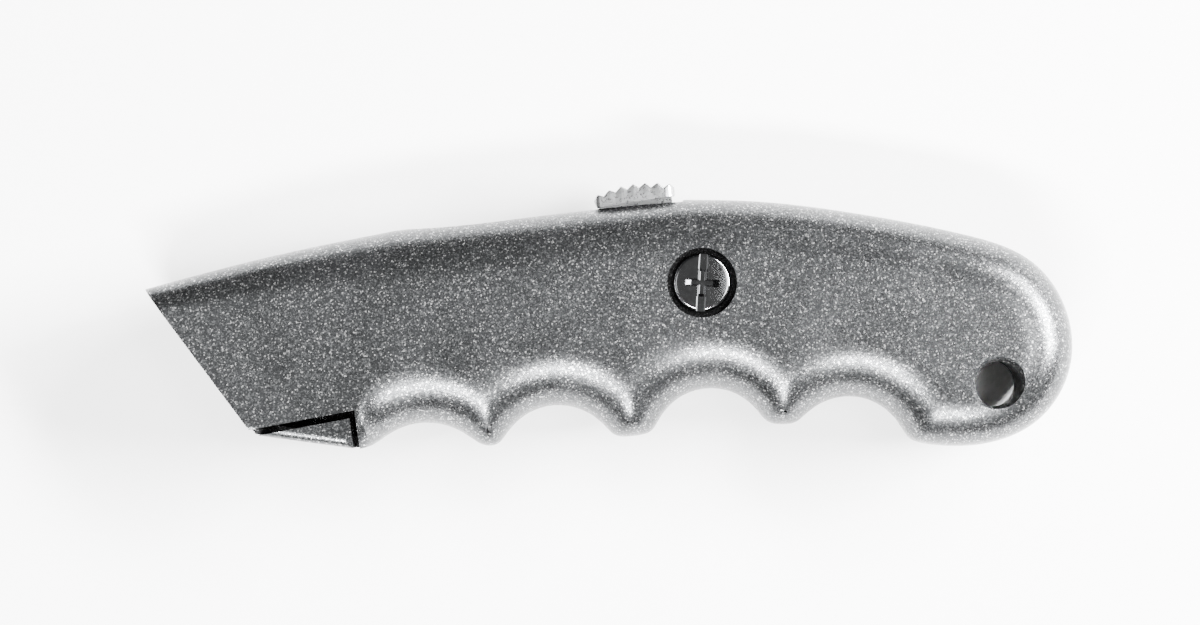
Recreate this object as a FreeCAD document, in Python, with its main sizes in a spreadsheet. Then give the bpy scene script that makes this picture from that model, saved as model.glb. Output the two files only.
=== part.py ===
"""Retractable utility knife with a two-part die-cast handle.

The knife lies on its far side.  X runs along the handle (nose towards -X), Y from the finger
grooves up to the thumb button, and Z through the thickness.  The origin is on the axis of the
body screw, on the surface that the knife lies on.

The blade track is tilted a few degrees to the handle.  "Track" coordinates (along, up) have the
same origin and are turned by track_tilt about Z.
"""
import FreeCAD, Part
import math
import os

import Sketcher
from FreeCAD import Placement, Rotation, Vector

SIZES = [
    # handle
    ("case_length", 158.0),
    ("case_depth", 42.8),
    ("case_thickness", 21.0),
    ("nose_thickness", 11.6),
    ("wall", 2.0),
    ("edge_round", 7.0),
    ("nose_round", 3.4),
    ("chin_round", 1.3),
    ("groove_round", 8.5),
    ("cavity_edge_round", 2.5),
    ("cavity_nose_round", 2.2),
    ("cavity_groove_round", 4.0),
    ("seam_gap", 1.3),
    ("lanyard_diameter", 8.0),
    ("lanyard_chamfer", 0.8),
    ("post_diameter", 4.6),
    ("dowel_diameter", 2.4),
    # blade track
    ("track_tilt", 5.8),
    ("track_height", 14.1),
    ("slot_width", 4.2),
    ("stroke", 33.0),
    ("running_gap", 0.12),
    # blade
    ("blade_length", 61.0),
    ("blade_width", 19.0),
    ("blade_thickness", 0.63),
    ("blade_end_slope", 14.0),
    ("blade_edge_drop", 15.6),
    ("bevel_width", 2.2),
    ("notch_width", 3.2),
    ("notch_depth", 3.0),
    ("notch_spacing", 7.0),
    # screw
    ("screw_head_diameter", 9.9),
    ("screw_head_height", 2.0),
    ("screw_diameter", 5.0),
    ("screw_slot_width", 1.65),
    ("cross_span", 5.9),
    ("counterbore_diameter", 11.8),
    ("counterbore_depth", 2.3),
    ("boss_diameter", 9.0),
    # carrier, button and springs
    ("rail_bottom", 5.0),
    ("carrier_front", 46.0),
    ("lever_width", 3.6),
    ("button_width", 9.4),
    ("button_crown_radius", 22.0),
    ("tooth_count", 7),
    ("tooth_pitch", 2.07),
    ("tooth_depth", 0.8),
    ("pin_diameter", 1.6),
    ("coil_diameter", 3.0),
    ("coil_wire", 0.4),
    ("latch_step", 11.0),
    ("latch_thickness", 0.4),
    ("latch_width", 2.2),
    ("rivet_diameter", 1.2),
]

doc = FreeCAD.newDocument("utility_knife")
sheet = doc.addObject("Spreadsheet::Sheet", "sizes")
for row, (alias, value) in enumerate(SIZES, start=1):
    sheet.set("A%d" % row, alias)
    sheet.set("B%d" % row, str(value))
    sheet.setAlias("B%d" % row, alias)
doc.recompute()


def size(alias):
    """One driving dimension, read back from the sheet."""
    return float(getattr(sheet, alias))


# The outline was drawn for a 158 x 42.8 handle, and is stretched to the sheet's length and depth.
STRETCH_X = size("case_length") / 158.0
STRETCH_Y = size("case_depth") / 42.8

thickness = size("case_thickness")
half = thickness / 2
wall = size("wall")
gap = size("running_gap")
blade_half = size("blade_thickness") / 2
tilt = math.radians(size("track_tilt"))

# Heights in track coordinates.
track_top = size("track_height") * STRETCH_Y
track_underside = track_top - wall + 0.1
rail_top = track_underside - 0.6
blade_edge = -size("blade_edge_drop")
blade_back = blade_edge + size("blade_width")

# Places along the track, with the blade drawn back.
track_front = -50.6 * STRETCH_X
track_rear = -1.65
rail_rear = -2.8
rail_front = rail_rear - 44.2
blade_tip = -76.0
rib_top = -8.1
plate_bottom = rib_top + gap
pivot = Vector(-14.5, track_top - 4.7, 0)

TRACK_FRAME = Placement(Vector(0, 0, half), Rotation(Vector(0, 0, 1), size("track_tilt")))
DOWEL_PLACES = [Vector(-11.8 * STRETCH_X, -21.3 * STRETCH_Y, 0),
                Vector(14.4 * STRETCH_X, -19.4 * STRETCH_Y, 0)]
LANYARD_PLACE = Vector(50.2 * STRETCH_X, -17.3 * STRETCH_Y, 0)
STACK_FRAME = Placement(Vector(-4.0, wall - 17.5, 0), Rotation(Vector(0, 0, 1), 4.0))
STACK_SEAT = 3.4
SPARE_BLADES = 5


def track_point(along, up):
    """A point of the handle's side view, given in track coordinates."""
    x = along * math.cos(tilt) - up * math.sin(tilt)
    y = along * math.sin(tilt) + up * math.cos(tilt)
    return Vector(x, y, 0)


def hand(x, y):
    """A point of the drawn outline, stretched to the handle's length and depth."""
    return Vector(x * STRETCH_X, y * STRETCH_Y, 0)


def track_hand(along, up):
    """A point of the drawn outline in track coordinates, stretched the same way."""
    return track_point(along * STRETCH_X, up * STRETCH_Y)


NOSE_TIP = track_hand(-94.4, 8.6)
BROW = track_hand(-71.5, 12.1)
TRACK_START = track_hand(-50.6, 14.25)
TRACK_END = track_hand(-1.65, 14.5)
HEEL = track_hand(-78.2, -18.1)
FRONT_LOBE = hand(-36.6, -28.1)
CHIN = hand(-57.6, -28.35)

# Centre and radius of each finger groove, from the nose to the butt.
GROOVES = [
    (hand(-46.7, -35.5), 11.6),
    (hand(-24.3, -31.2), 10.3),
    (hand(1.7, -27.9), 9.9),
    (hand(25.2, -29.6), 10.2),
]


# ---------------------------------------------------------------- outer and inner form

def form_feature(name, shape):
    """A shape that no workbench feature makes, kept in the document."""
    feature = doc.addObject("Part::Feature", name)
    feature.Shape = shape
    return feature


def outline():
    """Side view of the handle without its finger grooves."""
    brow = Part.BSplineCurve()
    brow.interpolate([NOSE_TIP, BROW, TRACK_START])
    grip = Part.BSplineCurve()
    grip.interpolate([
        TRACK_END, hand(9, 14.0), hand(26, 12.0), hand(44.6, 8.4), hand(57.0, 3.2),
        hand(63.2, -12.4), hand(57.2, -23.6), hand(45.6, -27.8), hand(31, -26.3),
        hand(15.0, -24.3), hand(-11.6, -26.2), FRONT_LOBE, CHIN,
    ])
    lobe = grip.parameter(FRONT_LOBE)
    edges = [
        brow.toShape(),
        Part.makeLine(TRACK_START, TRACK_END),
        grip.toShape(grip.FirstParameter, lobe),
        grip.toShape(lobe, grip.LastParameter),
        Part.makeLine(CHIN, HEEL),
        Part.makeLine(HEEL, NOSE_TIP),
    ]
    return Part.Wire(edges)


def plan_slab(inset):
    """The handle seen from above: even thickness, drawn in towards the nose by a curve."""
    reach = size("case_length")
    side = half - inset
    tip = size("nose_thickness") / 2 - inset
    poles = [(-97 * STRETCH_X, tip), (-66 * STRETCH_X, side), (-30 * STRETCH_X, side)]
    near = Part.BezierCurve()
    near.setPoles([Vector(x, 0, z) for x, z in poles])
    far = Part.BezierCurve()
    far.setPoles([Vector(x, 0, -z) for x, z in poles])
    edges = [
        near.toShape(),
        Part.makeLine(near.EndPoint, Vector(reach, 0, side)),
        Part.makeLine(Vector(reach, 0, side), Vector(reach, 0, -side)),
        Part.makeLine(Vector(reach, 0, -side), far.EndPoint),
        far.toShape(),
        Part.makeLine(far.StartPoint, near.StartPoint),
    ]
    face = Part.Face(Part.Wire(Part.__sortEdges__(edges)))
    slab = face.extrude(Vector(0, 2 * reach, 0))
    slab.translate(Vector(0, -reach, 0))
    return slab


def rim_edges(shape, inset):
    """The long edges between the side faces and the walls, but not those of the nose face."""
    along_nose = HEEL - NOSE_TIP
    along_nose.normalize()
    rims = []
    for edge in shape.Edges:
        middle = edge.valueAt((edge.FirstParameter + edge.LastParameter) / 2)
        rise = abs(edge.valueAt(edge.FirstParameter).z - edge.valueAt(edge.LastParameter).z)
        if rise > 6 or abs(middle.z) < 4:
            continue
        slants = []
        for face in shape.ancestorsOfType(edge, Part.Face):
            u, v = face.Surface.parameter(middle)
            slants.append(abs(face.normalAt(u, v).z))
        offset = middle - Vector(NOSE_TIP.x, NOSE_TIP.y, middle.z)
        from_nose = abs(offset.x * along_nose.y - offset.y * along_nose.x)
        if min(slants) < 0.3 and max(slants) > 0.7 and from_nose > inset + 0.3:
            rims.append(edge)
    return rims


def groove_cutter(centre, radius, rounding, side):
    """A round cutter standing through the handle, flaring at both side faces."""
    straight = side - rounding
    outer = radius + rounding
    bend = rounding * math.sqrt(0.5)
    high = side + 2
    profile = [
        Part.makeLine(Vector(0, 0, -high), Vector(outer, 0, -high)),
        Part.makeLine(Vector(outer, 0, -high), Vector(outer, 0, -side)),
        Part.Arc(Vector(outer, 0, -side), Vector(outer - bend, 0, -straight - bend),
                 Vector(radius, 0, -straight)).toShape(),
        Part.makeLine(Vector(radius, 0, -straight), Vector(radius, 0, straight)),
        Part.Arc(Vector(radius, 0, straight), Vector(outer - bend, 0, straight + bend),
                 Vector(outer, 0, side)).toShape(),
        Part.makeLine(Vector(outer, 0, side), Vector(outer, 0, high)),
        Part.makeLine(Vector(outer, 0, high), Vector(0, 0, high)),
        Part.makeLine(Vector(0, 0, high), Vector(0, 0, -high)),
    ]
    cutter = Part.Face(Part.Wire(profile)).revolve(Vector(0, 0, 0), Vector(0, 0, 1), 360)
    cutter.translate(centre)
    return cutter


def rounded_rims(shape, inset, nose_rounding, rounding, chin_rounding):
    """Round the rims, growing from the nose's radius to the handle's, and least along the chin."""
    base = form_feature("square_form_%d" % round(10 * inset), shape)
    rims = rim_edges(shape, inset)
    entries = []
    for number, edge in enumerate(shape.Edges, start=1):
        if not any(edge.isSame(rim) for rim in rims):
            continue
        radii = []
        for vertex in (edge.Vertexes[0], edge.Vertexes[-1]):
            point = vertex.Point
            share = (point.x - NOSE_TIP.x) / (TRACK_START.x - NOSE_TIP.x)
            share = min(1.0, max(0.0, share))
            at_chin = point.y < HEEL.y + 3 and point.x < CHIN.x + 3
            radii.append(chin_rounding if at_chin else nose_rounding + share * (rounding - nose_rounding))
        entries.append((number, radii[0], radii[1]))
    fillet = doc.addObject("Part::Fillet", "rounded_form_%d" % round(10 * inset))
    fillet.Base = base
    fillet.Edges = entries
    doc.recompute()
    return fillet.Shape.Solids[0]


def handle_form(inset, nose_rounding, rounding, groove_rounding, chin_rounding):
    """Solid handle, or its hollow when inset is the wall: outline, plan, rims, then grooves."""
    face = Part.Face(outline())
    if inset:
        inner = face.makeOffset2D(-inset, join=2).Faces[0]
        face = Part.Face(Part.Wire(inner.OuterWire.toNurbs().Edges))
    prism = face.extrude(Vector(0, 0, thickness))
    prism.translate(Vector(0, 0, -half))
    form = prism.common(plan_slab(inset)).Solids[0]
    form = rounded_rims(form, inset, nose_rounding, rounding, chin_rounding)
    for centre, radius in GROOVES:
        cutter = groove_cutter(centre, radius + inset, groove_rounding, half - inset)
        form = form.cut(cutter)
    form = form.Solids[0]
    form.translate(Vector(0, 0, half))
    return form


# ---------------------------------------------------------------- primitives and booleans

def block(name, corner, extent, frame=None):
    """A box with a corner and an extent in the handle's frame, or in another one."""
    feature = doc.addObject("Part::Box", name)
    feature.Length, feature.Width, feature.Height = extent
    feature.Placement = Placement(Vector(*corner), Rotation())
    if frame:
        feature.Placement = frame.multiply(feature.Placement)
    return feature


def track_block(name, along, up, across):
    """A box between two limits along the track, up it, and across it from the parting plane."""
    corner = (along[0], up[0], across[0])
    extent = (along[1] - along[0], up[1] - up[0], across[1] - across[0])
    return block(name, corner, extent, TRACK_FRAME)


def column(name, place, bottom, height, radius):
    """A cylinder standing along Z whose radius is an expression of the sheet."""
    feature = doc.addObject("Part::Cylinder", name)
    feature.setExpression("Radius", radius)
    feature.Height = height
    feature.Placement = Placement(Vector(place.x, place.y, bottom), Rotation())
    return feature


def track_prism(name, corners, bottom, top):
    """A polygon in track coordinates, raised between two heights."""
    points = [track_point(along, up) for along, up in corners]
    wire = Part.makePolygon(points + points[:1])
    shape = Part.Face(wire).extrude(Vector(0, 0, top - bottom))
    shape.translate(Vector(0, 0, bottom))
    return form_feature(name, shape)


def joined(name, shapes):
    feature = doc.addObject("Part::MultiFuse", name)
    feature.Shapes = shapes
    return feature


def shared(name, shapes):
    feature = doc.addObject("Part::MultiCommon", name)
    feature.Shapes = shapes
    return feature


def removed(name, base, tool):
    feature = doc.addObject("Part::Cut", name)
    feature.Base = base
    feature.Tool = tool
    return feature


# ---------------------------------------------------------------- handle halves

def nose_along(up):
    """Where the slanted nose face stands along the track at a height."""
    tip_along, tip_up = -94.4 * STRETCH_X, 8.6 * STRETCH_Y
    heel_along, heel_up = -78.2 * STRETCH_X, -18.1 * STRETCH_Y
    share = (up - heel_up) / (tip_up - heel_up)
    return heel_along + share * (tip_along - heel_along)


def nose_filling(name):
    """The solid metal behind the nose face that guides the blade."""
    depth = 4.8
    corners = []
    for up, inward in ((-30, 0), (20, 0), (20, depth), (-30, depth)):
        corners.append((nose_along(up) + inward - (4 if not inward else 0), up))
    return track_prism(name, corners, -1, thickness + 1)


def tongue_prism(name, clearance, bottom):
    """The lip under the nose; with a clearance, the window that it fills in the near half."""
    top_slope = 0.086
    rear = -61.6 * STRETCH_X + clearance * 0.75
    rear_top = -16.8 * STRETCH_Y + clearance
    front = nose_along(-18) - 8
    front_top = rear_top - top_slope * (rear - front)
    corners = [(front, front_top), (rear, rear_top), (rear + 0.6, -40), (front, -40)]
    return track_prism(name, corners, bottom, thickness + 1)


def track_land(name):
    """The space over the track: its floor dips ahead of the button and ends in a small step."""
    floor = Part.BSplineCurve()
    floor.interpolate([
        track_hand(-50.8, 14.35), track_hand(-42.5, 13.85), track_hand(-30, 13.98),
        track_hand(-17.5, 14.25), track_hand(-8, 14.22), track_point(track_rear, track_top - 0.05),
    ])
    above_rear = track_point(track_rear, track_top + 9)
    above_front = track_point(track_front, track_top + 9)
    edges = [
        floor.toShape(),
        Part.makeLine(floor.EndPoint, above_rear),
        Part.makeLine(above_rear, above_front),
        Part.makeLine(above_front, floor.StartPoint),
    ]
    shape = Part.Face(Part.Wire(edges)).extrude(Vector(0, 0, thickness + 2))
    shape.translate(Vector(0, 0, -1))
    return form_feature(name, shape)


def latch_notches(name):
    """Shallow notches under the track's top wall, one for each place where the blade stops."""
    cutters = []
    for stop in range(4):
        centre = -12.0 - stop * size("latch_step")
        low, high = track_underside - 0.5, track_underside + 0.75
        corners = [(centre - 2.1, low), (centre - 0.7, high), (centre + 0.7, high), (centre + 2.1, low)]
        prism = track_prism("%s_%d" % (name, stop), corners, half - 6.4, half - 3.6)
        cutters.append(prism)
    return cutters


def shell_halves(form, hollow):
    """The near half (above the parting plane, towards +Z) and the far half of the handle."""
    reach = size("case_length")
    plate = (2 * reach, 2 * reach, half + 1)
    near_space = block("near_space", (-reach, -reach, half), plate)
    far_space = block("far_space", (-reach, -reach, -1), plate)
    tongue = tongue_prism("tongue", 0, half - 1)
    window = tongue_prism("tongue_window", size("seam_gap"), half - 1)

    # Ribs and bosses stand in the hollow, so they are taken out of it.
    near_ribs = joined("near_ribs", [
        nose_filling("near_nose_filling"),
        column("near_boss", Vector(0, 0, 0), half - 1, half + 2, "sizes.boss_diameter / 2"),
        column("near_boss_head", Vector(0, 0, 0), thickness - size("counterbore_depth") - wall, 8,
               "sizes.counterbore_diameter / 2 + 1.4"),
        column("near_lanyard_post", LANYARD_PLACE, half - 1, half + 2,
               "sizes.lanyard_diameter / 2 + 1.2"),
        track_block("near_blade_rib", (-79, -14), (rib_top - 2.1, rib_top), (blade_half + gap, half + 1)),
        track_block("near_rail_rib", (-84, -3), (rail_top - 5, rail_top - 3), (3.95, half + 1)),
        column("near_keeper_1", STACK_FRAME.multVec(Vector(19, 9, 0)), 6.75, half * 2,
               "sizes.post_diameter / 2"),
        column("near_keeper_2", STACK_FRAME.multVec(Vector(42, 9, 0)), 6.75, half * 2,
               "sizes.post_diameter / 2"),
    ] + [column("near_post_%d" % number, place, half - 1, half + 2, "sizes.post_diameter / 2")
         for number, place in enumerate(DOWEL_PLACES, start=1)])
    far_ribs = joined("far_ribs", [
        nose_filling("far_nose_filling"),
        tongue_prism("tongue_root", 0, -1),
        column("far_boss", Vector(0, 0, 0), -1, half + 2, "sizes.boss_diameter / 2"),
        column("far_lanyard_post", LANYARD_PLACE, -1, half + 2, "sizes.lanyard_diameter / 2 + 1.2"),
        track_block("far_blade_rib", (-79, -14), (rib_top - 2.1, rib_top), (-half - 1, -blade_half - gap)),
        track_block("far_rail_rib", (-84, -8), (rail_top - 5, rail_top - 3), (-half - 1, -6.45)),
        track_block("rear_stop", (rail_rear + gap, rail_rear + 2), (rail_top - 6, rail_top + 3),
                    (-half - 1, -2.2)),
        block("stack_seat_1", (12, 2, -1), (2, 15, STACK_SEAT + 1), STACK_FRAME),
        block("stack_seat_2", (45, 2, -1), (2, 15, STACK_SEAT + 1), STACK_FRAME),
        block("stack_fence", (10, -1.4, -1), (12, 1.1, 7), STACK_FRAME),
    ] + [column("far_post_%d" % number, place, -1, half + 2, "sizes.post_diameter / 2")
         for number, place in enumerate(DOWEL_PLACES, start=1)])

    # Cuts that both halves share.
    lanyard_hole = column("lanyard_hole", LANYARD_PLACE, -1, thickness + 2, "sizes.lanyard_diameter / 2")
    chamfers = []
    for name, height, flip in (("near", thickness, 180), ("far", 0, 0)):
        cone = doc.addObject("Part::Cone", name + "_lanyard_chamfer")
        cone.setExpression("Radius1", "sizes.lanyard_diameter / 2 + sizes.lanyard_chamfer")
        cone.setExpression("Radius2", "sizes.lanyard_diameter / 2")
        cone.setExpression("Height", "sizes.lanyard_chamfer")
        cone.Placement = Placement(Vector(LANYARD_PLACE.x, LANYARD_PLACE.y, height),
                                   Rotation(Vector(1, 0, 0), flip))
        chamfers.append(cone)
    slot_side = size("slot_width") / 2
    openings = [
        lanyard_hole,
        track_land("track_land"),
        track_block("button_slot", (-16.3 - size("stroke"), -2.4), (track_underside - 3, track_top + 5),
                    (-slot_side, slot_side)),
        track_block("blade_slot", (nose_along(5) - 8, -60), (blade_edge - 0.5, blade_back + 0.5),
                    (-blade_half - gap, blade_half + gap)),
    ]
    near_openings = joined("near_openings", openings + [
        chamfers[0],
        window,
        column("counterbore", Vector(0, 0, 0), thickness - size("counterbore_depth"), 6,
               "sizes.counterbore_diameter / 2"),
        column("clearance_hole", Vector(0, 0, 0), half - 1, half + 2, "sizes.screw_diameter / 2 + 0.2"),
    ] + [column("dowel_socket_%d" % number, place, half - 1, 4.4, "sizes.dowel_diameter / 2 + 0.08")
         for number, place in enumerate(DOWEL_PLACES, start=1)])
    far_openings = joined("far_openings", openings + [
        chamfers[1],
        column("thread_hole", Vector(0, 0, 0), 2.4, half + 2, "sizes.screw_diameter / 2 + 0.05"),
    ] + latch_notches("latch_notch"))
    dowels = [column("dowel_%d" % number, place, half - 2, 5.0, "sizes.dowel_diameter / 2")
              for number, place in enumerate(DOWEL_PLACES, start=1)]

    near_hollow = removed("near_hollow", shared("near_hollow_form", [hollow, near_space]), near_ribs)
    far_hollow = removed("far_hollow", shared("far_hollow_form", [hollow, far_space]), far_ribs)
    near_solid = removed("near_solid", shared("near_form", [form, near_space]), near_hollow)
    far_room = joined("far_room", [far_space, tongue])
    far_solid = removed("far_solid", shared("far_form", [form, far_room]), far_hollow)
    near = removed("near_shell", near_solid, near_openings)
    far_bored = removed("far_bored", far_solid, far_openings)
    far = joined("far_shell", [far_bored] + dowels)
    return near, far


# ---------------------------------------------------------------- part-design helpers

def new_body(name, placement):
    body = doc.addObject("PartDesign::Body", name)
    body.Placement = placement
    return body


def new_sketch(body, name, plane, offset=0.0):
    """A sketch on one of the body's own origin planes, moved along that plane's normal."""
    support = [item for item in body.Origin.OriginFeatures if item.Role == plane][0]
    sketch = body.newObject("Sketcher::SketchObject", name)
    sketch.AttachmentSupport = (support, [""])
    sketch.MapMode = "FlatFace"
    sketch.AttachmentOffset = Placement(Vector(0, 0, offset), Rotation())
    return sketch


def draw_polygon(sketch, corners):
    """A closed outline through the corners, held where it is drawn."""
    points = [Vector(x, y, 0) for x, y in corners]
    for start, end in zip(points, points[1:] + points[:1]):
        index = sketch.addGeometry(Part.LineSegment(start, end))
        sketch.addConstraint(Sketcher.Constraint("Block", index))


def draw_circle(sketch, x, y, radius):
    """A circle whose radius is an expression of the sheet."""
    circle = Part.Circle(Vector(x, y, 0), Vector(0, 0, 1), 1.0)
    index = sketch.addGeometry(circle)
    number = sketch.addConstraint(Sketcher.Constraint("Radius", index, 1.0))
    sketch.setExpression("Constraints[%d]" % number, radius)
    sketch.addConstraint(Sketcher.Constraint("DistanceX", -1, 1, index, 3, x))
    sketch.addConstraint(Sketcher.Constraint("DistanceY", -1, 1, index, 3, y))


def pad(body, name, sketch, length):
    """Raise a sketch by a number, or by an expression of the sheet."""
    feature = body.newObject("PartDesign::Pad", name)
    feature.Profile = sketch
    if isinstance(length, str):
        feature.setExpression("Length", length)
    else:
        feature.Length = length
    sketch.Visibility = False
    body.Tip = feature
    return feature


def pocket(body, name, sketch, depth=None, along_normal=False):
    """Cut a sketch to a depth against its plane's normal or along it, or right through both ways."""
    doc.recompute()
    before = body.Shape.Volume
    feature = body.newObject("PartDesign::Pocket", name)
    feature.Profile = sketch
    if depth is None:
        feature.Type = "ThroughAll"
        feature.Midplane = True
    else:
        feature.Length = depth
        feature.Reversed = along_normal
    body.Tip = feature
    doc.recompute()
    if body.Shape.Volume > before - 0.01:
        raise RuntimeError("%s cut nothing" % name)
    return feature


def revolution(body, name, sketch):
    feature = body.newObject("PartDesign::Revolution", name)
    feature.Profile = sketch
    feature.ReferenceAxis = (sketch, ["V_Axis"])
    feature.Angle = 360
    body.Tip = feature
    return feature


def slab(body, name, corners, bottom, top):
    """A polygon of the body's XY plane, filled from one height to another."""
    sketch = new_sketch(body, name + "_sketch", "XY_Plane", bottom)
    draw_polygon(sketch, corners)
    return pad(body, name, sketch, top - bottom)


def rectangle(left, right, low, high):
    return [(left, low), (right, low), (right, high), (left, high)]


def recess(body, name, corners, bottom, top):
    """A polygon of the body's XY plane, cut out from one height down to another."""
    sketch = new_sketch(body, name + "_sketch", "XY_Plane", top)
    draw_polygon(sketch, corners)
    return pocket(body, name, sketch, top - bottom)


# ---------------------------------------------------------------- moving pieces

def blade_piece(name, placement):
    """Trapezoid blade: ground section drawn out lengthwise, then the ends and notches cut."""
    length, width = size("blade_length"), size("blade_width")
    slope = size("blade_end_slope")
    body = new_body(name, placement)
    section = new_sketch(body, name + "_section", "YZ_Plane")
    bevel = size("bevel_width")
    fine = 0.02
    draw_polygon(section, [(0, -fine), (bevel, -blade_half), (width, -blade_half),
                           (width, blade_half), (bevel, blade_half), (0, fine)])
    pad(body, name + "_strip", section, "sizes.blade_length")
    cuts = new_sketch(body, name + "_cuts", "XY_Plane")
    over = 2.0
    lean = slope / width
    draw_polygon(cuts, [(-over, -over), (-over * lean, -over), (slope + over * lean, width + over),
                        (-over, width + over)])
    draw_polygon(cuts, [(length + over, -over), (length + over * lean, -over),
                        (length - slope - over * lean, width + over), (length + over, width + over)])
    notch, deep = size("notch_width") / 2, size("notch_depth")
    for side in (-0.5, 0.5):
        centre = length / 2 + side * size("notch_spacing")
        draw_polygon(cuts, rectangle(centre - notch, centre + notch, width - deep, width + over))
    pocket(body, name + "_trim", cuts)
    return body


def screw_piece():
    """Body screw: head with a full-width slot crossed by a short cross recess."""
    head_bottom = thickness - size("counterbore_depth")
    head = size("screw_head_diameter") / 2
    tall = size("screw_head_height")
    shank = size("screw_diameter") / 2
    body = new_body("body_screw", Placement(Vector(0, 0, head_bottom), Rotation()))
    profile = new_sketch(body, "screw_profile", "XZ_Plane")
    length = head_bottom - 3.0
    draw_polygon(profile, [(0, -length), (shank - 0.6, -length), (shank, -length + 0.6), (shank, 0),
                           (head, 0), (head, tall - 0.7), (head - 0.25, tall - 0.2),
                           (head - 0.7, tall), (0, tall)])
    revolution(body, "screw_turning", profile)
    slot = size("screw_slot_width") / 2
    recess(body, "screw_slot", rectangle(-slot, slot, -head - 1, head + 1), tall - 1.0, tall)
    arm = size("cross_span") / 2
    recess(body, "screw_cross", rectangle(-arm, arm, -slot * 0.75, slot * 0.75), tall - 1.4, tall)
    recess(body, "screw_cross_well", rectangle(-slot, slot, -arm, arm), tall - 1.4, tall - 0.9)
    return body


def carrier_piece():
    """Die-cast blade carrier: plate beside the blade, rail above it, fork for the button."""
    body = new_body("blade_carrier", TRACK_FRAME)
    front = -size("carrier_front")
    low = size("rail_bottom")
    seat = rail_top - 1.7
    face = -blade_half - gap / 2
    slab(body, "plate", rectangle(front, -12, plate_bottom, low + 1), -3.5, face)
    slab(body, "rail", [(-34, low), (rail_rear, low), (rail_rear, rail_top), (-21, rail_top),
                        (-34, rail_top - 1.6)], -6.3, 3.8)
    slab(body, "nose_rail", [(rail_front, low), (-33, low), (-33, rail_top - 1.6),
                             (rail_front, rail_top - 3.2)], -3.5, 3.2)
    slab(body, "lip", rectangle(front + 1.5, -18, blade_back - 2.4, low + 0.5), blade_half + gap / 2, 1.9)
    notch = blade_tip + size("blade_length") / 2 + size("notch_spacing") / 2
    lug = size("notch_width") / 2 - 0.2
    slab(body, "lug", rectangle(notch - lug, notch + lug, blade_back - size("notch_depth") + 0.2, low + 0.5),
         face - 0.5, blade_half + gap)
    fork = size("lever_width") / 2 + 0.15
    recess(body, "fork", rectangle(-17.6, 0, low + 2.6, rail_top + 2), -fork, fork)
    recess(body, "latch_seat", rectangle(-29, 0, seat, rail_top + 2), -7, -3.85)
    well = new_sketch(body, "spring_well_sketch", "XZ_Plane", -(low + 2.6))
    draw_circle(well, -6.5, 0, "sizes.coil_diameter / 2 + 0.15")
    pocket(body, "spring_well", well, 1.7, along_normal=True)
    bore = new_sketch(body, "pivot_bore_sketch", "XY_Plane")
    draw_circle(bore, pivot.x, pivot.y, "sizes.pin_diameter / 2 + 0.01")
    pocket(body, "pivot_bore", bore)
    rivet = new_sketch(body, "rivet_hole_sketch", "XZ_Plane", -seat)
    draw_circle(rivet, -26.5, -5.1, "sizes.rivet_diameter / 2 + 0.02")
    pocket(body, "rivet_hole", rivet, 2.6, along_normal=True)
    return body, seat


def tooth_line():
    """Peaks and valleys of the thumb button, along a crown of constant radius."""
    crown = size("button_crown_radius")
    centre_along = -8.9
    centre_up = track_top + 3.9 - crown
    count = int(size("tooth_count"))
    pitch = size("tooth_pitch")
    points = []
    for step in range(2 * count - 1):
        along = -3.7 - step * pitch / 2
        deep = size("tooth_depth") if step % 2 else 0.0
        rise = math.sqrt((crown - deep) ** 2 - (along - centre_along) ** 2)
        points.append((along, centre_up + rise))
    return points


def button_piece():
    """Serrated thumb button on a rocking lever."""
    body = new_body("thumb_button", TRACK_FRAME)
    side = size("lever_width") / 2
    foot = size("rail_bottom") + 4.1
    lever = [(-16.3, pivot.y - 1.5), (-12.9, pivot.y - 1.5), (-11.9, foot), (-3.5, foot), (-3.5, track_top + 1.4),
             (-16.0, track_top + 0.8)]
    slab(body, "lever", lever, -side, side)
    width = size("button_width")
    outline_points = [(-16.3, track_top + 0.4), (-3.0, track_top + 1.15), (-2.75, track_top + 2.3)]
    outline_points += tooth_line()
    outline_points.append((-16.75, track_top + 1.6))
    slab(body, "thumb_pad", outline_points, -width / 2, width / 2)
    bore = new_sketch(body, "button_bore_sketch", "XY_Plane")
    draw_circle(bore, pivot.x, pivot.y, "sizes.pin_diameter / 2 + 0.05")
    pocket(body, "button_bore", bore)
    return body, foot


def pin_piece():
    """Steel pin that the button rocks on."""
    body = new_body("button_pivot_pin", TRACK_FRAME)
    sketch = new_sketch(body, "pin_sketch", "XY_Plane", -3.8)
    draw_circle(sketch, pivot.x, pivot.y, "sizes.pin_diameter / 2")
    pad(body, "pin", sketch, 7.6)
    return body


def coil_piece(foot):
    """Small compression spring under the rear of the button."""
    bottom = size("rail_bottom") + 0.9
    wire = size("coil_wire")
    clear = 0.06
    stand = Placement(Vector(-6.5, bottom + wire / 2 + clear, 0), Rotation(Vector(1, 0, 0), -90))
    body = new_body("button_spring", TRACK_FRAME.multiply(stand))
    section = new_sketch(body, "coil_section", "XZ_Plane")
    draw_circle(section, (size("coil_diameter") - wire) / 2, 0, "sizes.coil_wire / 2")
    doc.recompute()
    coil = body.newObject("PartDesign::AdditiveHelix", "coil")
    coil.Profile = section
    coil.ReferenceAxis = (section, ["V_Axis"])
    coil.Mode = "height-turns-angle"
    coil.Height = foot - bottom - wire - 2 * clear
    coil.Turns = 4
    body.Tip = coil
    return body


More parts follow.
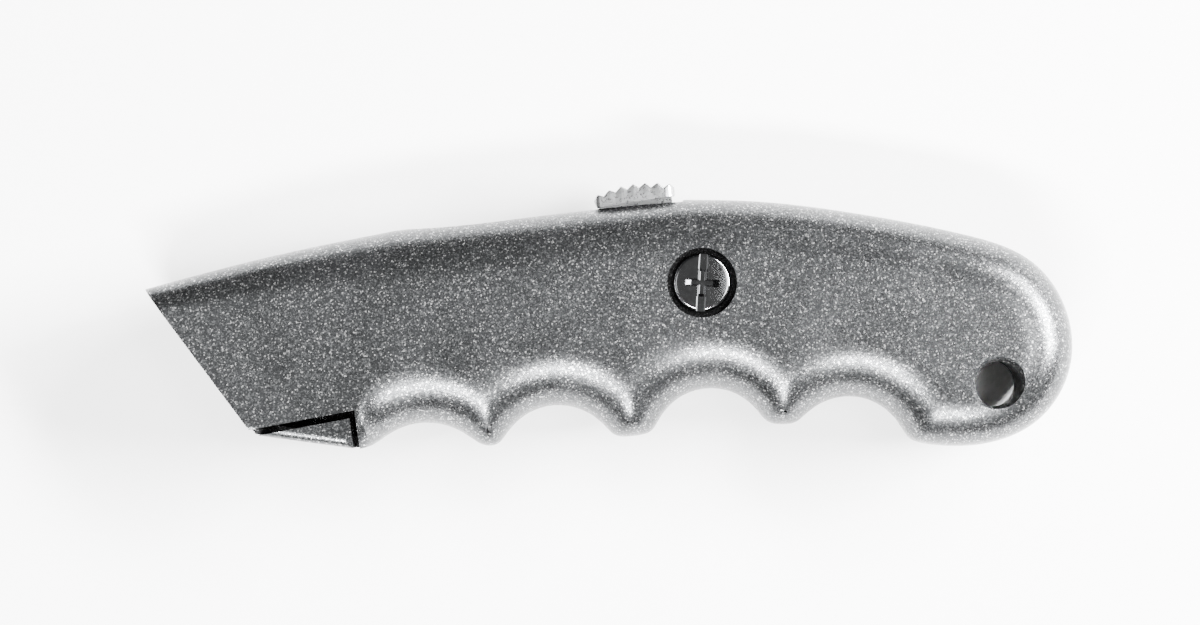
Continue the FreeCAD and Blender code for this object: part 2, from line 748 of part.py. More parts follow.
def latch_piece(seat):
    """Leaf spring on the rail whose bump clicks into the notches of the track."""
    body = new_body("latch_spring", TRACK_FRAME)
    thin = size("latch_thickness")
    lower = [(-28.6, seat), (-23.5, seat), (-13.6, track_underside - 1.0), (-12.4, track_underside + 0.05),
             (-11.6, track_underside + 0.05), (-10.4, track_underside - 1.0), (-9.4, track_underside - 1.3)]
    upper = [(along, up + thin) for along, up in reversed(lower)]
    near_side = -3.95
    slab(body, "leaf", lower + upper, near_side - size("latch_width"), near_side)
    hole = new_sketch(body, "leaf_hole_sketch", "XZ_Plane", -(seat + 1))
    draw_circle(hole, -26.5, -5.1, "sizes.rivet_diameter / 2 + 0.02")
    pocket(body, "leaf_hole", hole, 2.0, along_normal=True)
    return body


def rivet_piece(seat):
    """Rivet that holds the leaf spring on the rail."""
    rivet_at = Placement(Vector(-26.5, seat, -5.1), Rotation(Vector(1, 0, 0), -90))
    body = new_body("latch_rivet", TRACK_FRAME.multiply(rivet_at))
    radius = size("rivet_diameter") / 2
    thin = size("latch_thickness")
    profile = new_sketch(body, "rivet_profile", "XZ_Plane")
    draw_polygon(profile, [(0, -2.4), (radius, -2.4), (radius, thin), (radius + 0.4, thin),
                           (radius + 0.3, thin + 0.35), (0, thin + 0.5)])
    revolution(body, "rivet_turning", profile)
    return body


# ---------------------------------------------------------------- assembly

carrier, latch_seat = carrier_piece()
button, button_foot = button_piece()

nodes = [carrier, button]
nodes.append(screw_piece())
nodes.append(pin_piece())
nodes.append(coil_piece(button_foot))
nodes.append(latch_piece(latch_seat))
nodes.append(rivet_piece(latch_seat))
nodes.append(blade_piece("blade", TRACK_FRAME.multiply(Placement(Vector(blade_tip, blade_edge, 0), Rotation()))))
for number in range(SPARE_BLADES):
    height = STACK_SEAT + blade_half + 0.01 + number * (2 * blade_half + 0.01)
    stacked = Placement(Vector(0, 0, height), Rotation()).multiply(STACK_FRAME)
    nodes.append(blade_piece("spare_blade_%d" % (number + 1), stacked))

form = form_feature("handle_form", handle_form(0, size("nose_round"), size("edge_round"),
                                               size("groove_round"), size("chin_round")))
hollow = form_feature("handle_hollow", handle_form(wall, size("cavity_nose_round"),
                                                   size("cavity_edge_round"),
                                                   size("cavity_groove_round"),
                                                   size("cavity_nose_round")))
nodes.extend(shell_halves(form, hollow))
doc.recompute()

for item in doc.Objects:
    if "Invalid" in item.State or "Error" in item.State:
        raise RuntimeError("%s was not built: %s" % (item.Name, item.State))

os.makedirs("parts", exist_ok=True)
for node in nodes:
    shape = node.Shape
    if shape.isNull() or not shape.isValid() or len(shape.Solids) != 1:
        raise RuntimeError("%s has no single valid solid" % node.Label)
    print("%-18s volume %9.1f  x %7.2f %7.2f  y %7.2f %7.2f  z %6.2f %6.2f" % (
        node.Label, shape.Volume, shape.BoundBox.XMin, shape.BoundBox.XMax,
        shape.BoundBox.YMin, shape.BoundBox.YMax, shape.BoundBox.ZMin, shape.BoundBox.ZMax))
    shape.exportStep("parts/%s.step" % node.Label)
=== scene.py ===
"""Looks of a retractable utility knife with a die-cast handle, laid out as a Blender add-on.

The knife lies on its far side.  X runs from the nose to the butt, Y from the finger grooves up to
the thumb button, and Z up through the thickness.  Lengths inside the builders are millimetres in
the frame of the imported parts, and become metres only when a mesh is made.
"""
import math

import bmesh
import bpy
import numpy as np
from bpy.props import FloatProperty, IntProperty, PointerProperty
from bpy.types import Operator, Panel, PropertyGroup
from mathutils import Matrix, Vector


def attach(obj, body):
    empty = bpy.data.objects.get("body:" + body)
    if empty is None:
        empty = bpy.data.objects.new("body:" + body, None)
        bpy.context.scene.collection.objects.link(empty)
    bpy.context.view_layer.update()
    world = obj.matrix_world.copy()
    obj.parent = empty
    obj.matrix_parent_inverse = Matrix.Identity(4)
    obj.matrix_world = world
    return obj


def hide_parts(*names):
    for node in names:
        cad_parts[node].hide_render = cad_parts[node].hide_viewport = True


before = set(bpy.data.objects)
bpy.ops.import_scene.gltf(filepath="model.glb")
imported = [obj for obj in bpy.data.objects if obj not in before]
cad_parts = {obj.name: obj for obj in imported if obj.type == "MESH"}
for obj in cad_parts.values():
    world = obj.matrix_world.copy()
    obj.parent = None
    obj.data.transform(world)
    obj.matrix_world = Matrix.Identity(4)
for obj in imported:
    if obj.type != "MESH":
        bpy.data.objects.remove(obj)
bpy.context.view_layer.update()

bl_info = {
    "name": "Utility Knife",
    "version": (1, 0, 0),
    "blender": (4, 5, 0),
    "location": "View3D > Sidebar > Knife",
    "description": "Builds the looks of a utility knife around its packed parts",
    "category": "Object",
}

MM = 0.001
HALF = 10.5
NOSE_HALF = 5.8
TILT = math.radians(5.8)

# Reach over the face and drop down the side of the rim's rounding, at the nose and along the chin.
NOSE_REACH, NOSE_DROP = 4.2, 3.8
CHIN_REACH, CHIN_DROP = 1.6, 1.5

CROWN_RADIUS = 22.0
CAMERA_DISTANCE = 0.87
VIEW_WIDTH = 0.205

# Side view of the handle without its grooves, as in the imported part: two curves and two straights.
TOP_POINTS = [(-94.4, 8.6), (-71.5, 12.1), (-50.6, 14.25)]
TRACK_END = (-1.65, 14.5)
GRIP_POINTS = [
    (9, 14.0), (26, 12.0), (44.6, 8.4), (57.0, 3.2), (63.2, -12.4), (57.2, -23.6), (45.6, -27.8),
    (31, -26.3), (15.0, -24.3), (-11.6, -26.2), (-36.6, -28.1), (-57.6, -28.35),
]
HEEL = (-78.2, -18.1)
GROOVES = np.array([(-46.7, -35.5, 11.6), (-24.3, -31.2, 10.3), (1.7, -27.9, 9.9), (25.2, -29.6, 10.2)])


# ------------------------------------------------------------------ settings

class KnifeHandleSettings(PropertyGroup):
    """Sizes of the handle's roundings"""
    groove_width: FloatProperty(name="Groove rounding width", unit="LENGTH", default=10.3 * MM,
                                description="How far the rounding of the grooves reaches over the face")
    groove_depth: FloatProperty(name="Groove rounding depth", unit="LENGTH", default=8.9 * MM,
                                description="How far that rounding reaches down the thickness")
    back_width: FloatProperty(name="Back rounding width", unit="LENGTH", default=9.2 * MM,
                              description="Reach over the face of the rounding along the back and butt")
    back_depth: FloatProperty(name="Back rounding depth", unit="LENGTH", default=7.8 * MM,
                              description="Reach down the thickness of the rounding along the back and butt")
    blend: FloatProperty(name="Blend per millimetre", default=1.2,
                         description="Sharpness of the ridges between the grooves")
    stations: IntProperty(name="Stations", default=420, description="Sections from the nose to the butt")


class KnifeDetailSettings(PropertyGroup):
    """Sizes of the button, the screw and the coating"""
    tooth_pitch: FloatProperty(name="Tooth pitch", unit="LENGTH", default=2.07 * MM,
                               description="Distance between two peaks of the thumb button")
    tooth_depth: FloatProperty(name="Tooth depth", unit="LENGTH", default=0.8 * MM,
                               description="Height of the thumb button's teeth")
    slot_turn: FloatProperty(name="Slot turn", subtype="ANGLE", default=math.radians(-3.5),
                             description="How far the screw's slot is turned from upright")
    thread_pitch: FloatProperty(name="Thread pitch", unit="LENGTH", default=0.8 * MM,
                                description="Rise of the screw's thread in one turn")
    grain: FloatProperty(name="Coat grain", unit="LENGTH", default=0.21 * MM,
                         description="Size of the coating's grains")


# ------------------------------------------------------------------ arrays and meshes

def track_to_case(points):
    """Turn points given along and up the track into the handle's X and Y."""
    points = np.asarray(points, float)
    along, up = points[..., 0], points[..., 1]
    x = along * math.cos(TILT) - up * math.sin(TILT)
    y = along * math.sin(TILT) + up * math.cos(TILT)
    return np.stack([x, y], axis=-1)


def spline(points, count):
    """Natural cubic spline through the points, by their distance along the line, evenly sampled."""
    points = np.asarray(points, float)
    steps = np.linalg.norm(np.diff(points, axis=0), axis=1)
    knots = np.concatenate([[0.0], np.cumsum(steps)])
    size = len(points)
    matrix = np.eye(size)
    right = np.zeros_like(points)
    for i in range(1, size - 1):
        before, after = steps[i - 1], steps[i]
        matrix[i, i - 1:i + 2] = before, 2 * (before + after), after
        right[i] = 6 * ((points[i + 1] - points[i]) / after - (points[i] - points[i - 1]) / before)
    bends = np.linalg.solve(matrix, right)
    at = np.linspace(0, knots[-1], count)
    span = np.clip(np.searchsorted(knots, at, side="right") - 1, 0, size - 2)
    width = steps[span][:, None]
    low = (at - knots[span])[:, None]
    high = width - low
    cubic = (bends[span] * high ** 3 + bends[span + 1] * low ** 3) / (6 * width)
    straight = (points[span] / width - bends[span] * width / 6) * high
    straight += (points[span + 1] / width - bends[span + 1] * width / 6) * low
    return cubic + straight


def new_object(name, vertices, faces, smooth=True):
    """A mesh object from millimetre vertices, welded and facing outward."""
    mesh = bpy.data.meshes.new(name)
    mesh.from_pydata((np.asarray(vertices) * MM).tolist(), [], [list(map(int, face)) for face in faces])
    weld(mesh)
    mesh.shade_smooth() if smooth else mesh.shade_flat()
    obj = bpy.data.objects.new(name, mesh)
    bpy.context.scene.collection.objects.link(obj)
    return obj


def weld(mesh, distance=2e-7):
    """Join the corners that lie together and turn every face outward."""
    work = bmesh.new()
    work.from_mesh(mesh)
    bmesh.ops.remove_doubles(work, verts=work.verts, dist=distance)
    bmesh.ops.dissolve_degenerate(work, edges=work.edges, dist=1e-8)
    open_edges = [edge for edge in work.edges if edge.is_boundary]
    if open_edges:
        bmesh.ops.holes_fill(work, edges=open_edges, sides=0)
    bmesh.ops.recalc_face_normals(work, faces=work.faces)
    work.to_mesh(mesh)
    work.free()


def grid_faces(rows, columns, close_columns=False):
    """Quads of a grid of rows and columns; the last column may join the first."""
    index = np.arange(rows * columns).reshape(rows, columns)
    if close_columns:
        index = np.concatenate([index, index[:, :1]], axis=1)
    quads = np.stack([index[:-1, :-1], index[:-1, 1:], index[1:, 1:], index[1:, :-1]], axis=-1)
    return quads.reshape(-1, 4)


def finished(obj, angle=30.0):
    """Shade smooth except across edges sharper than the angle."""
    obj.data.shade_smooth()
    obj.data.set_sharp_from_angle(angle=math.radians(angle))
    return obj


def cad_copy(node, name):
    """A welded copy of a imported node's mesh under a new name, without its stored normals."""
    obj = bpy.data.objects.new(name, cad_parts[node].data.copy())
    bpy.context.scene.collection.objects.link(obj)
    stored = obj.data.attributes.get("custom_normal")
    if stored:
        obj.data.attributes.remove(stored)
    weld(obj.data, 1e-6)
    return obj


def combine(obj, tool, operation):
    """Apply one Boolean of the tool to the object; the tool stays."""
    modifier = obj.modifiers.new("Combine", "BOOLEAN")
    modifier.operation = operation
    modifier.object = tool
    modifier.solver = "MANIFOLD"
    bpy.context.view_layer.update()
    result = bpy.data.meshes.new_from_object(obj.evaluated_get(bpy.context.evaluated_depsgraph_get()))
    obj.modifiers.remove(modifier)
    old = obj.data
    obj.data = result
    bpy.data.meshes.remove(old)
    if not len(result.polygons):
        raise RuntimeError("nothing is left of %s" % obj.name)
    return obj


def drop(obj):
    """Take a helper object out of the file."""
    bpy.data.objects.remove(obj)


# ------------------------------------------------------------------ the handle's smooth form

def hull_line():
    """The outline without grooves, as one line from beyond the nose over the butt to the chin."""
    top = track_to_case(spline(TOP_POINTS, 60))
    end = track_to_case(TRACK_END)
    track = np.linspace(top[-1], end, 60)[1:]
    grip = spline([tuple(end)] + GRIP_POINTS, 420)[1:]
    heel = track_to_case(HEEL)
    chin = np.linspace(grip[-1], heel, 30)[1:]
    ahead = top[0] + (top[0] - top[1]) / np.linalg.norm(top[0] - top[1]) * 8.0
    below = heel + (heel - grip[-1]) / np.linalg.norm(heel - grip[-1]) * 24.0
    return np.concatenate([[ahead], top, track, grip, chin, [below]])


def depth_inside(points, line, blend):
    """Soft distance in from the outline and its slope.

    The distances to the outline's line and to each groove's circle are joined by the logarithm of
    a sum of exponentials, which rounds the ridges where two of them meet.
    """
    start, span = line[:-1], np.diff(line, axis=0)
    length = (span ** 2).sum(1)
    offset = points[:, None, :] - start[None]
    share = np.clip((offset * span[None]).sum(-1) / length, 0, 1)
    away = offset - share[..., None] * span[None]
    nearest = (away ** 2).sum(-1).argmin(1)
    rows = np.arange(len(points))
    normal = np.stack([span[:, 1], -span[:, 0]], axis=1) / np.sqrt(length)[:, None]
    hull_slope = normal[nearest]
    hull = (away[rows, nearest] * hull_slope).sum(1) - 0.1
    out = points[:, None, :] - GROOVES[None, :, :2]
    radius = np.linalg.norm(out, axis=-1)
    distance = np.concatenate([hull[:, None], radius - GROOVES[None, :, 2] - 0.06], axis=1)
    slope = np.concatenate([hull_slope[:, None, :], out / radius[..., None]], axis=1)
    lowest = distance.min(1, keepdims=True)
    weight = np.exp(-blend * (distance - lowest))
    total = weight.sum(1, keepdims=True)
    depth = lowest[:, 0] - np.log(total[:, 0]) / blend
    weight = weight / total
    return depth, (weight[..., None] * slope).sum(1), weight[:, 1:].sum(1)


def side_height(x):
    """Half thickness seen from above: even, and drawn in to the nose by one curve."""
    first, middle, last = -97.0, -66.0, -30.0
    a, b = first - 2 * middle + last, 2 * (middle - first)
    share = (-b + np.sqrt(np.maximum(b * b - 4 * a * (first - x), 0))) / (2 * a)
    share = np.clip(share, 0, 1)
    return (1 - share) ** 2 * NOSE_HALF + (1 - (1 - share) ** 2) * HALF - 0.03


def rounding(points, groove_share, settings):
    """Reach over the face and down the side of the rounding at each point."""
    x, y = points[:, 0], points[:, 1]
    share = np.clip((x + 94.8) / 43.0, 0, 1)
    width = NOSE_REACH + share * (settings.back_width / MM - NOSE_REACH)
    depth = NOSE_DROP + share * (settings.back_depth / MM - NOSE_DROP)
    width = width + groove_share * share * (settings.groove_width - settings.back_width) / MM
    depth = depth + groove_share * share * (settings.groove_depth - settings.back_depth) / MM
    chin = np.clip((-54.0 - x) / 4.0, 0, 1) * np.clip((-10.0 - y) / 4.0, 0, 1) * (1 - groove_share)
    return width + chin * (CHIN_REACH - width), depth + chin * (CHIN_DROP - depth)


def handle_form(settings):
    """Closed smooth form of the whole handle.

    Sections run from the grooves over the face to the back.  Each starts on the parting plane,
    climbs the wall, follows a quarter ellipse over the rim (height from the soft distance in from
    the outline), crosses the face at the height of the plan curve, and mirrors below the plane.
    """
    line = hull_line()
    count = settings.stations
    tip = line[:, 0].argmax()
    strips = []
    for part in (line[:tip + 1], line[tip:][::-1]):
        steps = np.concatenate([[0], np.cumsum(np.linalg.norm(np.diff(part, axis=0), axis=1))])
        ease = 1 - (1 - np.linspace(0, 1, count)) ** 1.15
        at = ease * steps[-1]
        strips.append(np.stack([np.interp(at, steps, part[:, 0]), np.interp(at, steps, part[:, 1])], axis=1))
    points = np.concatenate(strips)
    levels = 10.3 * np.linspace(0, 1, 19) ** 1.7
    rows = []
    for level in levels:
        for _ in range(6):
            depth, slope, groove_share = depth_inside(points, line, settings.blend)
            points = points + slope * ((level - depth) / np.maximum((slope ** 2).sum(1), 0.05))[:, None]
        face = side_height(points[:, 0])
        reach, down = rounding(points, groove_share, settings)
        if not rows:
            for share in (0.0, 0.5):
                rows.append(np.column_stack([points, share * (face - down)]))
        rise = np.sqrt(1 - np.clip(1 - level / reach, 0, 1) ** 2)
        rows.append(np.column_stack([points, face - down + down * rise]))
    rows = np.stack(rows)
    upper, lower = rows[:, :count], rows[:, count:]
    across = []
    for share in np.linspace(0, 1, 12)[1:-1]:
        flat = lower[-1, :, :2] * (1 - share) + upper[-1, :, :2] * share
        across.append(np.column_stack([flat, side_height(flat[:, 0])]))
    half = np.concatenate([lower, np.stack(across), upper[::-1]])
    mirrored = half[::-1][1:-1] * np.array([1, 1, -1])
    loop = np.concatenate([half, mirrored])
    loop[..., 2] += HALF
    sections = loop.transpose(1, 0, 2)
    return new_object("handle_form", sections.reshape(-1, 3), grid_faces(count, loop.shape[0], True))


# ------------------------------------------------------------------ screw and thumb button

def screw_body(settings):
    """Turned screw: a profile revolved about the axis.

    The head's top falls off with the square of the radius, its rim is a quarter circle, and the
    shank's radius rises and falls as a triangle wave of height minus turn, which makes the thread.
    """
    turns = np.linspace(0, 2 * math.pi, 97)[:-1]
    pitch = settings.thread_pitch / MM
    rows = [(0.0, 3.02, 0), (1.8, 3.02, 0), (2.1, 3.3, 0)]
    rows += [(2.42, z, 1) for z in np.arange(3.7, 14.0, pitch / 6)]
    rows += [(2.1, 14.4, 0), (2.46, 14.8, 0), (2.46, 18.72, 0), (4.9, 18.72, 0), (4.9, 19.6, 0)]
    for angle in np.linspace(0, math.pi / 2, 9)[1:]:
        rows.append((4.2 + 0.7 * math.cos(angle), 19.78 + 0.7 * math.sin(angle), 0))
    rows += [(r, 20.48 + 0.2 * (1 - (r / 4.2) ** 2), 0) for r in (3.2, 2.2, 1.2, 0.4, 0.0)]
    radius, height, threaded = np.array(rows).T
    wave = np.abs(((height[:, None] / pitch - turns[None] / (2 * math.pi)) % 1.0) - 0.5) * 2
    reach = radius[:, None] - 0.34 * threaded[:, None] * wave
    vertices = np.stack([reach * np.cos(turns), reach * np.sin(turns),
                         np.broadcast_to(height[:, None], reach.shape)], axis=-1)
    return new_object("screw_body", vertices.reshape(-1, 3), grid_faces(len(rows), len(turns), True))


def recess_cutter(settings):
    """Forms of the screw's recess: a full slot and two crossed arms, all with slanted walls.

    Each is a bar: stations along it, with a half width that shrinks down to its floor, and at a
    closed end the floor is shorter than the mouth.
    """
    cutters = []
    for mouth, floor_wide, half_long, floor_long, floor, angle in (
            (0.86, 0.58, 5.4, 5.4, 19.75, 90.0), (0.66, 0.34, 2.95, 1.9, 19.0, 0.0),
            (0.66, 0.34, 2.95, 1.9, 19.0, 90.0)):
        share = np.linspace(-1, 1, 13)
        corners = [(share * floor_long, -floor_wide, floor), (share * floor_long, floor_wide, floor),
                   (share * half_long, mouth, 20.75), (share * half_long, -mouth, 20.75)]
        bar = np.stack([np.column_stack([x, np.full_like(x, y), np.full_like(x, z)]) for x, y, z in corners],
                       axis=1)
        spin = math.radians(angle) + settings.slot_turn
        turned = np.stack([bar[..., 0] * math.cos(spin) - bar[..., 1] * math.sin(spin),
                           bar[..., 0] * math.sin(spin) + bar[..., 1] * math.cos(spin), bar[..., 2]], axis=-1)
        cutters.append(new_object("recess", turned.reshape(-1, 3), grid_faces(len(share), 4, True), False))
    return cutters


def button_crown(settings):
    """Closed form that rounds the thumb button's teeth and ends.

    Sections run along the track.  The top follows a circle of 22 mm less a rounded saw wave, the
    half width shrinks at both ends as a quarter circle, and the upper corners are small circles.
    """
    pitch, depth = settings.tooth_pitch / MM, settings.tooth_depth / MM
    along = np.linspace(-16.95, -2.95, 281)
    phase = ((along + 3.7) / pitch + 0.5) % 1.0 - 0.5
    wave = np.sqrt((2 * phase) ** 2 + 0.04) - 0.2
    inside = (along < -3.2) & (along > -16.6)
    crown = 14.1 + 3.9 - CROWN_RADIUS + np.sqrt((CROWN_RADIUS - 0.06) ** 2 - (along + 8.9) ** 2)
    top = crown - np.where(inside, depth * wave, 0.25)
    end = np.minimum(along + 16.95, -2.95 - along)
    half = 4.66 - 1.7 + 1.7 * np.sqrt(1 - np.clip(1 - end / 1.7, 0, 1) ** 2)
    corner = 0.45
    steps = np.linspace(0, math.pi / 2, 6)
    loop = [np.column_stack([along, np.zeros_like(top), half])]
    for angle in steps:
        loop.append(np.column_stack([along, top - corner + corner * math.sin(angle),
                                     half - corner + corner * math.cos(angle)]))
    mirrored = [row * np.array([1, 1, -1]) for row in reversed(loop)]
    sections = np.stack(loop + mirrored).transpose(1, 0, 2)
    flat = track_to_case(sections[..., :2])
    vertices = np.concatenate([flat, sections[..., 2:] + HALF], axis=-1)
    faces = grid_faces(len(along), sections.shape[1], True)
    return new_object("button_crown", vertices.reshape(-1, 3), faces)


# ------------------------------------------------------------------ materials

def linear(hexcode):
    """Linear colour from an sRGB hex code."""
    value = [int(hexcode[i:i + 2], 16) / 255 for i in (0, 2, 4)]
    return tuple(c / 12.92 if c <= 0.04045 else ((c + 0.055) / 1.055) ** 2.4 for c in value) + (1.0,)


def add_node(tree, kind, inputs=None, **attributes):
    """One shader node with its attributes and input values or links set."""
    node = tree.nodes.new(kind)
    for key, value in attributes.items():
        setattr(node, key, value)
    for key, value in (inputs or {}).items():
        if isinstance(value, bpy.types.NodeSocket):
            tree.links.new(value, node.inputs[key])
        else:
            node.inputs[key].default_value = value
    return node


def new_material(name):
    """A material with an empty surface shader; gives back its tree, shader and object coordinates."""
    material = bpy.data.materials.new(name)
    material.use_nodes = True
    tree = material.node_tree
    tree.nodes.clear()
    shader = add_node(tree, "ShaderNodeBsdfPrincipled")
    output = add_node(tree, "ShaderNodeOutputMaterial", {"Surface": shader.outputs[0]})
    output.location = (300, 0)
    place = add_node(tree, "ShaderNodeTexCoord").outputs["Object"]
    return material, tree, shader, place


def ramp(tree, factor, low, high, start, end):
    """A straight change from one value or colour to another over a range of the factor."""
    node = add_node(tree, "ShaderNodeMapRange", {"Value": factor, "From Min": start, "From Max": end,
                                                 "To Min": low, "To Max": high})
    return node.outputs["Result"]


def mixed(tree, factor, low, high):
    """A mix of two colours, each a link or an sRGB hex code."""
    node = add_node(tree, "ShaderNodeMix", data_type="RGBA")
    for index, value in ((0, factor), (6, low), (7, high)):
        if isinstance(value, str):
            node.inputs[index].default_value = linear(value)
        else:
            tree.links.new(value, node.inputs[index])
    return node.outputs[2]


def powder_coat(settings):
    """Fine sand-textured metallic powder coat: flakes of random tone in a grained silver-grey film, with
    painted shade darkening it in recesses.
    """
    material, tree, shader, place = new_material("sand_powder_coat")
    grain = MM / settings.grain * 1000.0
    cells = add_node(tree, "ShaderNodeTexVoronoi", {"Vector": place, "Scale": grain})
    flake = add_node(tree, "ShaderNodeSeparateColor", {"Color": cells.outputs["Color"]})
    fine = add_node(tree, "ShaderNodeTexNoise", {"Vector": place, "Scale": grain * 0.7, "Detail": 3.0,
                                                 "Roughness": 0.6})
    broad = add_node(tree, "ShaderNodeTexNoise", {"Vector": place, "Scale": 90.0, "Detail": 2.0})
    grained = mixed(tree, ramp(tree, fine.outputs["Fac"], 0.0, 1.0, 0.3, 0.7), "2b2c2d", "434445")
    flaked = mixed(tree, ramp(tree, flake.outputs["Red"], 0.0, 1.0, 0.62, 0.92), grained, "606162")
    spark = mixed(tree, ramp(tree, flake.outputs["Green"], 0.0, 1.0, 0.93, 0.97), flaked, "a4a4a4")
    # Painted shade: where ambient occlusion finds the coat hemmed in (counterbore, lanyard hole, creases),
    # the base colour is darkened towards near black.
    hollow = add_node(tree, "ShaderNodeAmbientOcclusion", {"Distance": 0.0035})
    painted_crevice_shade = mixed(tree, ramp(tree, hollow.outputs["AO"], 1.0, 0.0, 0.25, 0.62), spark, "0b0b0b")
    tree.links.new(painted_crevice_shade, shader.inputs["Base Color"])
    shader.inputs["Metallic"].default_value = 0.92
    wear = add_node(tree, "ShaderNodeMath", {0: ramp(tree, flake.outputs["Blue"], 0.25, 0.36, 0.0, 1.0),
                                             1: ramp(tree, broad.outputs["Fac"], -0.03, 0.03, 0.3, 0.7)},
                    operation="ADD")
    tree.links.new(wear.outputs[0], shader.inputs["Roughness"])
    bump = add_node(tree, "ShaderNodeBump", {"Height": fine.outputs["Fac"], "Strength": 0.35,
                                             "Distance": 0.00006})
    tree.links.new(bump.outputs[0], shader.inputs["Normal"])
    return material


def metal(name, dark, light, rough, grain_mm, bump_mm, stretch=(1.0, 1.0, 1.0)):
    """A bare or plated metal: slight tone and roughness changes over a fine surface grain."""
    material, tree, shader, place = new_material(name)
    scaled = add_node(tree, "ShaderNodeVectorMath", {0: place, 1: stretch}, operation="MULTIPLY")
    fine = add_node(tree, "ShaderNodeTexNoise", {"Vector": scaled.outputs[0], "Scale": 1000.0 / grain_mm,
                                                 "Detail": 3.0})
    broad = add_node(tree, "ShaderNodeTexNoise", {"Vector": place, "Scale": 220.0, "Detail": 2.0})
    tree.links.new(mixed(tree, broad.outputs["Fac"], dark, light), shader.inputs["Base Color"])
    shader.inputs["Metallic"].default_value = 1.0
    tree.links.new(ramp(tree, fine.outputs["Fac"], rough * 0.8, rough * 1.25, 0.3, 0.7),
                   shader.inputs["Roughness"])
    bump = add_node(tree, "ShaderNodeBump", {"Height": fine.outputs["Fac"], "Strength": 0.4,
                                             "Distance": bump_mm * MM})
    tree.links.new(bump.outputs[0], shader.inputs["Normal"])
    return material


def dress(obj, material):
    """Make the material the object's only one."""
    obj.data.materials.clear()
    obj.data.materials.append(material)


# ------------------------------------------------------------------ operators

class KNIFE_OT_handle(Operator):
    """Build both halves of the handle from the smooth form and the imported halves"""
    bl_idname = "knife.handle"
    bl_label = "Handle halves"

    def execute(self, context):
        settings = context.scene.knife_handle
        coat = powder_coat(context.scene.knife_detail)
        form = handle_form(settings)
        for node, body, name in (("near_shell", "case_near", "handle_near"),
                                 ("far_shell", "case_far", "handle_far")):
            obj = combine(cad_copy(node, name), form, "INTERSECT")
            dress(obj, coat)
            finished(obj, 28)
            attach(obj, body)
            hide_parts(node)
        drop(form)
        return {"FINISHED"}


class KNIFE_OT_screw(Operator):
    """Build the body screw with its thread, slot and cross recess"""
    bl_idname = "knife.screw"
    bl_label = "Body screw"

    def execute(self, context):
        settings = context.scene.knife_detail
        screw = screw_body(settings)
        for cutter in recess_cutter(settings):
            combine(screw, cutter, "DIFFERENCE")
            drop(cutter)
        screw.name = "screw_plated"
        dress(screw, metal("dark_nickel_plate", "6f7071", "8a8b8c", 0.13, 0.6, 0.001))
        finished(screw, 32)
        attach(screw, "screw")
        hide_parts("body_screw")
        return {"FINISHED"}


class KNIFE_OT_button(Operator):
    """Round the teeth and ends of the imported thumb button"""
    bl_idname = "knife.button"
    bl_label = "Thumb button"

    def execute(self, context):
        crown = button_crown(context.scene.knife_detail)
        button = combine(cad_copy("thumb_button", "button_cast"), crown, "INTERSECT")
        drop(crown)
        dress(button, metal("tumbled_cast_zinc", "8c8d8e", "c4c5c6", 0.30, 0.4, 0.02))
        finished(button, 40)
        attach(button, "button")
        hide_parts("thumb_button")
        return {"FINISHED"}


class KNIFE_OT_small_parts(Operator):
    """Give the carrier, springs, pins and blades their metals"""
    bl_idname = "knife.small_parts"
    bl_label = "Small parts"

    def execute(self, context):
        blade = metal("ground_blade_steel", "8d9093", "b9bcbf", 0.24, 0.25, 0.004, (1.0, 0.05, 1.0))
        finishes = {
            "blade_carrier": metal("cast_zinc_alloy", "77797b", "9a9c9e", 0.42, 0.5, 0.02),
            "button_pivot_pin": metal("ground_pin_steel", "85878a", "a5a7aa", 0.25, 0.3, 0.003),
            "latch_rivet": metal("headed_rivet_steel", "85878a", "a5a7aa", 0.3, 0.3, 0.003),
            "button_spring": metal("drawn_spring_wire", "6c6e72", "8e9094", 0.25, 0.3, 0.003),
            "latch_spring": metal("tempered_spring_strip", "4c5058", "6a6e77", 0.28, 0.4, 0.003),
        }
        for node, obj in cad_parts.items():
            if node in finishes:
                dress(obj, finishes[node])
            elif "blade" in node:
                dress(obj, blade)
        return {"FINISHED"}


def area_light(name, place, aim, width, height, power):
    """A rectangular soft light at a place, turned towards a point."""
    light = bpy.data.lights.new(name, "AREA")
    light.shape = "RECTANGLE"
    light.size, light.size_y, light.energy = width, height, power
    obj = bpy.data.objects.new(name, light)
    obj.location = place
    obj.rotation_euler = (Vector(aim) - Vector(place)).to_track_quat("-Z", "Y").to_euler()
    bpy.context.scene.collection.objects.link(obj)
    return obj


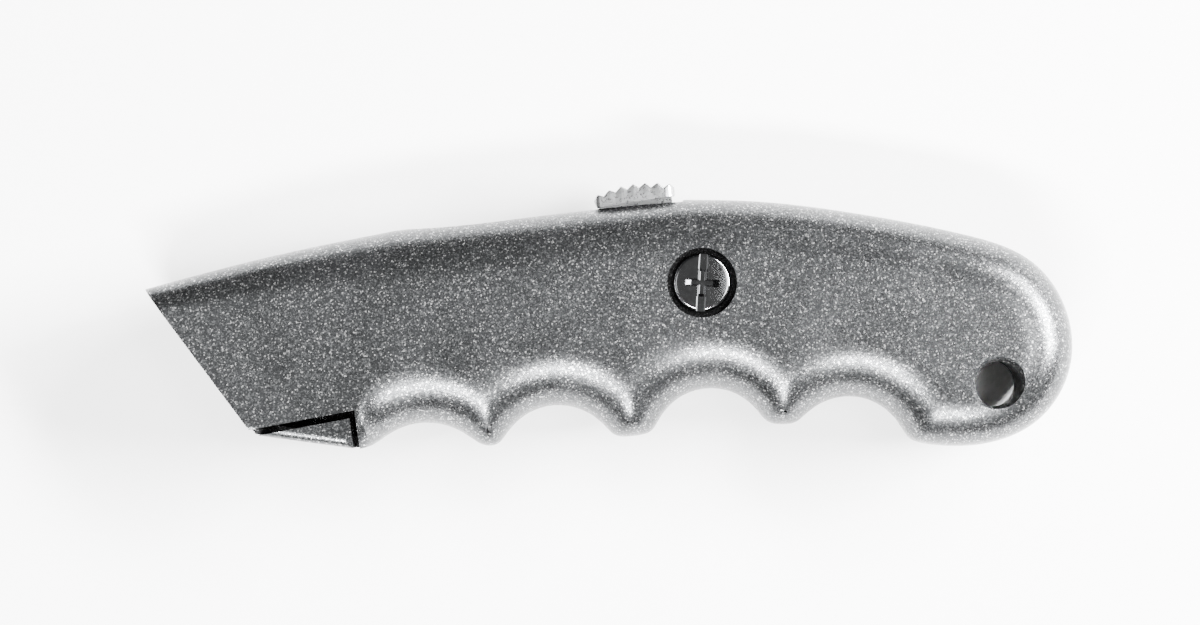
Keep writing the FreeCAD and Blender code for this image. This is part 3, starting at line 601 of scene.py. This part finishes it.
class KNIFE_OT_stage(Operator):
    """Lay the floor, hang the lights and set the camera above the knife"""
    bl_idname = "knife.stage"
    bl_label = "Stage"

    def execute(self, context):
        size = 3.0
        floor = new_object("floor", np.array([(-1, -1, 0), (1, -1, 0), (1, 1, 0), (-1, 1, 0)]) * size / MM,
                           [(0, 1, 2, 3)])
        material, tree, shader, place = new_material("matt_white_sweep")
        noise = add_node(tree, "ShaderNodeTexNoise", {"Vector": place, "Scale": 400.0})
        tree.links.new(mixed(tree, noise.outputs["Fac"], "f4f4f4", "f7f7f7"), shader.inputs["Base Color"])
        shader.inputs["Roughness"].default_value = 0.9
        dress(floor, material)
        world = bpy.data.worlds.new("studio")
        context.scene.world = world
        world.use_nodes = True
        sky = world.node_tree
        ray = add_node(sky, "ShaderNodeTexCoord").outputs["Generated"]
        lit = add_node(sky, "ShaderNodeSeparateXYZ", {"Vector": ray})
        ceiling = ramp(sky, lit.outputs["Z"], 0.03, 0.22, 0.35, 0.95)
        sky.links.new(ceiling, sky.nodes["Background"].inputs["Strength"])
        sky.nodes["Background"].inputs["Color"].default_value = (1, 1, 1, 1)
        area_light("key_below", (-0.12, -0.80, 0.95), (0, -0.01, 0.01), 0.8, 0.14, 80)
        area_light("side_butt", (0.98, 0.20, 0.52), (0.03, 0, 0.01), 0.6, 0.20, 150)
        area_light("corner_butt", (0.72, 0.62, 0.55), (0.04, 0.01, 0.01), 0.5, 0.18, 45)
        area_light("over_butt", (0.60, 0.0, 1.35), (0, 0, 0.01), 0.5, 0.5, 18)
        area_light("over_nose", (-0.70, 0.0, 1.30), (-0.05, 0, 0.01), 0.5, 0.5, 2)
        camera = bpy.data.cameras.new("camera")
        camera.sensor_width = 36
        camera.lens = camera.sensor_width * CAMERA_DISTANCE / VIEW_WIDTH
        obj = bpy.data.objects.new("camera", camera)
        obj.location = (-0.01725, -0.00504, CAMERA_DISTANCE + HALF * MM)
        context.scene.collection.objects.link(obj)
        context.scene.camera = obj
        return {"FINISHED"}


class KNIFE_PT_panel(Panel):
    """Settings and builders of the knife"""
    bl_idname = "KNIFE_PT_panel"
    bl_label = "Utility Knife"
    bl_space_type = "VIEW_3D"
    bl_region_type = "UI"
    bl_category = "Knife"

    def draw(self, context):
        layout = self.layout
        for settings in (context.scene.knife_handle, context.scene.knife_detail):
            for key in settings.bl_rna.properties.keys():
                if key not in ("rna_type", "name"):
                    layout.prop(settings, key)
        for operator in STEPS:
            layout.operator(operator.bl_idname)


STEPS = (KNIFE_OT_handle, KNIFE_OT_screw, KNIFE_OT_button, KNIFE_OT_small_parts, KNIFE_OT_stage)
CLASSES = (KnifeHandleSettings, KnifeDetailSettings) + STEPS + (KNIFE_PT_panel,)


def register():
    for item in CLASSES:
        bpy.utils.register_class(item)
    bpy.types.Scene.knife_handle = PointerProperty(type=KnifeHandleSettings)
    bpy.types.Scene.knife_detail = PointerProperty(type=KnifeDetailSettings)


def unregister():
    del bpy.types.Scene.knife_handle
    del bpy.types.Scene.knife_detail
    for item in reversed(CLASSES):
        bpy.utils.unregister_class(item)


def main():
    register()
    for step in STEPS:
        group, name = step.bl_idname.split(".")
        if getattr(getattr(bpy.ops, group), name)() != {"FINISHED"}:
            raise RuntimeError("%s did not finish" % step.bl_label)


if __name__ == "__main__":
    main()
